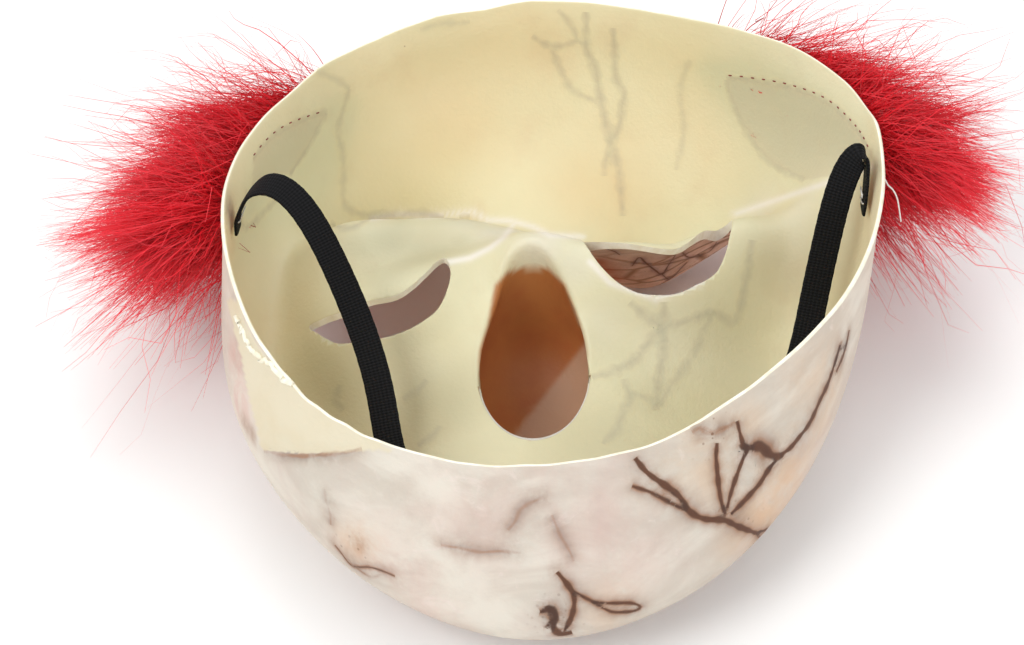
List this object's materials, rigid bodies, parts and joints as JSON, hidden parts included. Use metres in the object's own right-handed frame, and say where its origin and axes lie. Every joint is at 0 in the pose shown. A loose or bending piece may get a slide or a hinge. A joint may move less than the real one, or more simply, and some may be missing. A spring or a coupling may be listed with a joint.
{
  "type": "latex horror mask",
  "caption": "Hollow latex clown horror mask lying face down, with crescent eye holes, a hollow ball nose, an elastic head strap and red hair tufts at the temples.",
  "frame": {"origin": "middle of the bottom of the whole part's box, on the surface the mask lies on", "axes": "+Z out of the open back of the mask, +X across the face towards the temple that is at the right of the picture, +Y from the chin to the forehead"},
  "size_m": [0.2668, 0.2106, 0.0808],
  "materials": {
    "latex": "matte, painted off-white outside",
    "elastic": "woven black elastic",
    "hair": "fluffy synthetic fibre"
  },
  "bodies": {
    "root": {"mask_shell": "latex", "elastic_strap": "elastic", "hair_tuft_left": "hair", "hair_tuft_right": "hair"}
  },
  "joints": []
}
